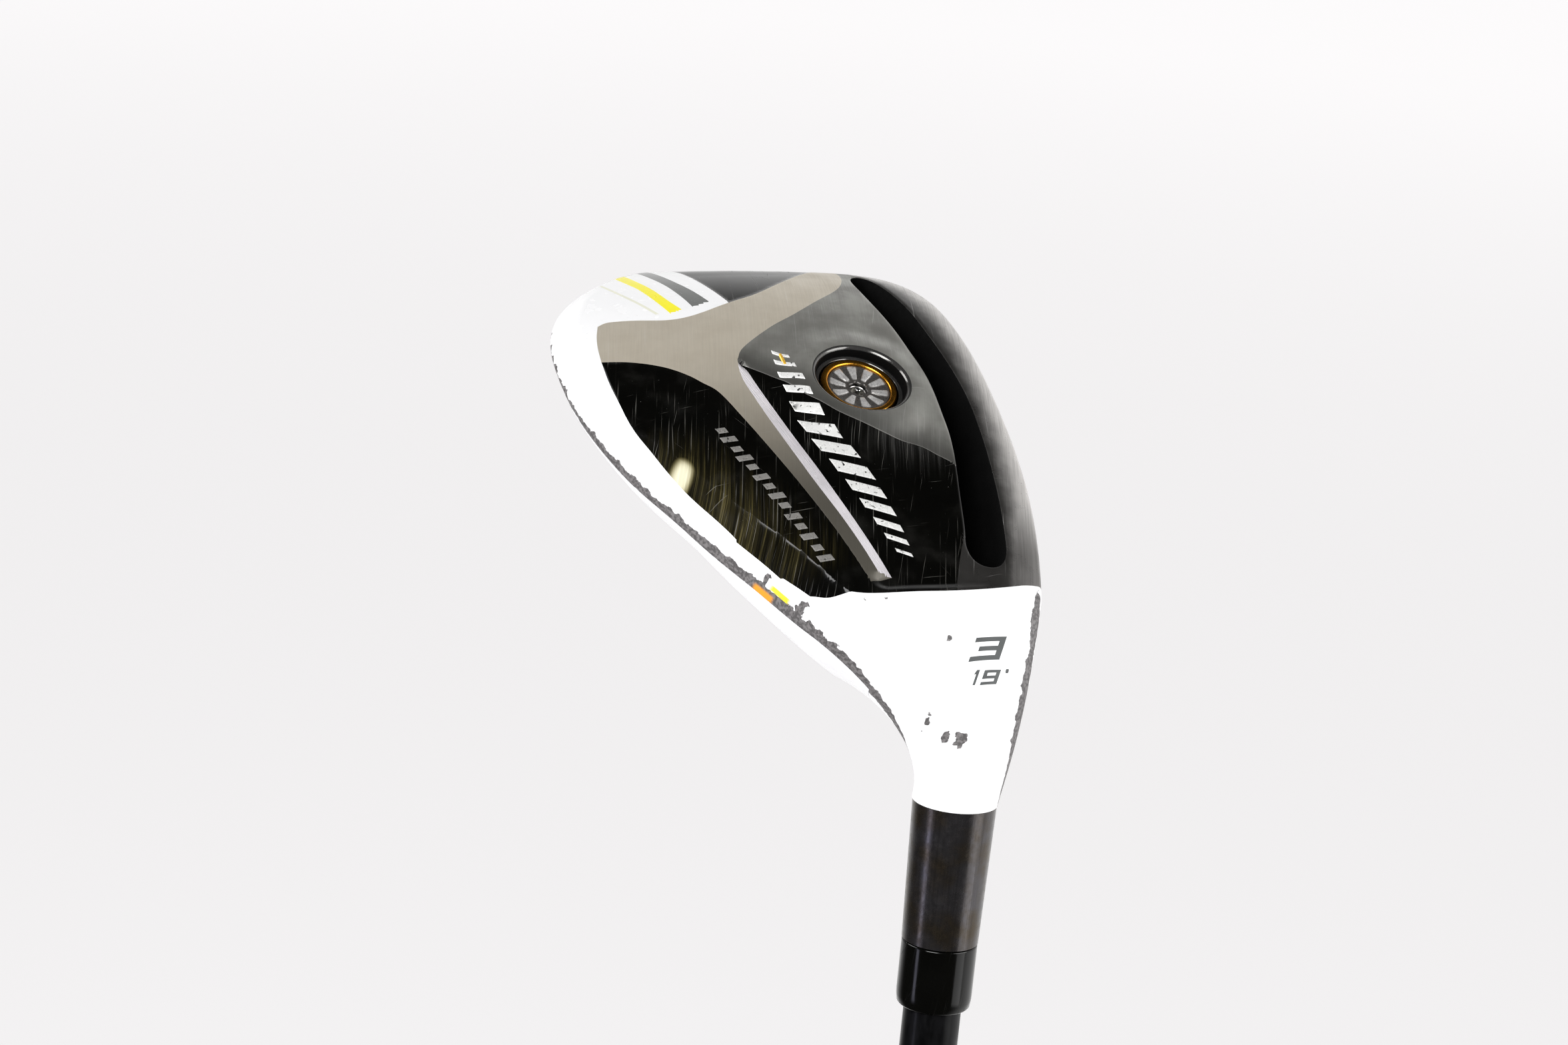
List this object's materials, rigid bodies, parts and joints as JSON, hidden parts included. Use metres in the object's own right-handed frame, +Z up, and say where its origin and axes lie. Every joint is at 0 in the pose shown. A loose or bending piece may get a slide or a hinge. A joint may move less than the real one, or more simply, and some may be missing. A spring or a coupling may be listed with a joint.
{
  "type": "fairway wood",
  "caption": "Compact white fairway wood with a black sole, a sole pocket behind the face, a screw-in sole weight, a dark hosel, a graphite shaft and a rubber grip.",
  "frame": {"origin": "centre of the grip cap's butt face, on the shaft axis, where a hand or a rack holds the club", "axes": "+Z up the shaft from the butt to the head, +X to the toe side, +Y to the trailing side, so the face looks to -Y"},
  "size_m": [0.0995, 0.0716, 1.062],
  "materials": {
    "white_paint": "gloss, chipped at the edges",
    "white_crown_paint": "gloss",
    "black_face": "satin, milled",
    "hot_melt": "waxy",
    "plated_steel": "satin",
    "gold_anodised": "anodised, gloss",
    "polished_medallion": "polished, radially cut",
    "seal_rubber": "matte",
    "stopper_foam": "matte",
    "gloss_ferrule": "polished",
    "graphite": "satin clear coat",
    "brass_weight": "turned",
    "grip_tape": "crepe paper",
    "grip_rubber": "matte, textured",
    "cap_rubber": "matte"
  },
  "bodies": {
    "club": {"head_body": "white_paint", "crown_shell": "white_crown_paint", "face_insert": "black_face", "damping_pad": "hot_melt", "hosel_stopper": "stopper_foam", "ferrule": "gloss_ferrule", "shaft": "graphite", "shaft_tip_weight": "brass_weight", "grip_tape": "grip_tape", "grip": "grip_rubber", "grip_cap": "cap_rubber"},
    "seal": {"weight_seal": "seal_rubber"},
    "weight": {"weight_screw": "plated_steel", "weight_bezel": "gold_anodised", "weight_medallion": "polished_medallion"}
  },
  "joints": [
    {"name": "weight_lift", "type": "slide", "parent": "club", "child": "seal", "axis": [-0.5, 0, 0.866], "range_m": [0, 0.0076]},
    {"name": "weight_turn", "type": "hinge", "parent": "seal", "child": "weight", "pos_m": [0.03767, 0.0076, 1.05075], "axis": [-0.5, 0, 0.866], "range_deg": [0, 2700]}
  ],
  "couplings": [
    {"joint": "weight_lift", "follows": "weight_turn", "m_per_rad": 0.00015915}
  ]
}
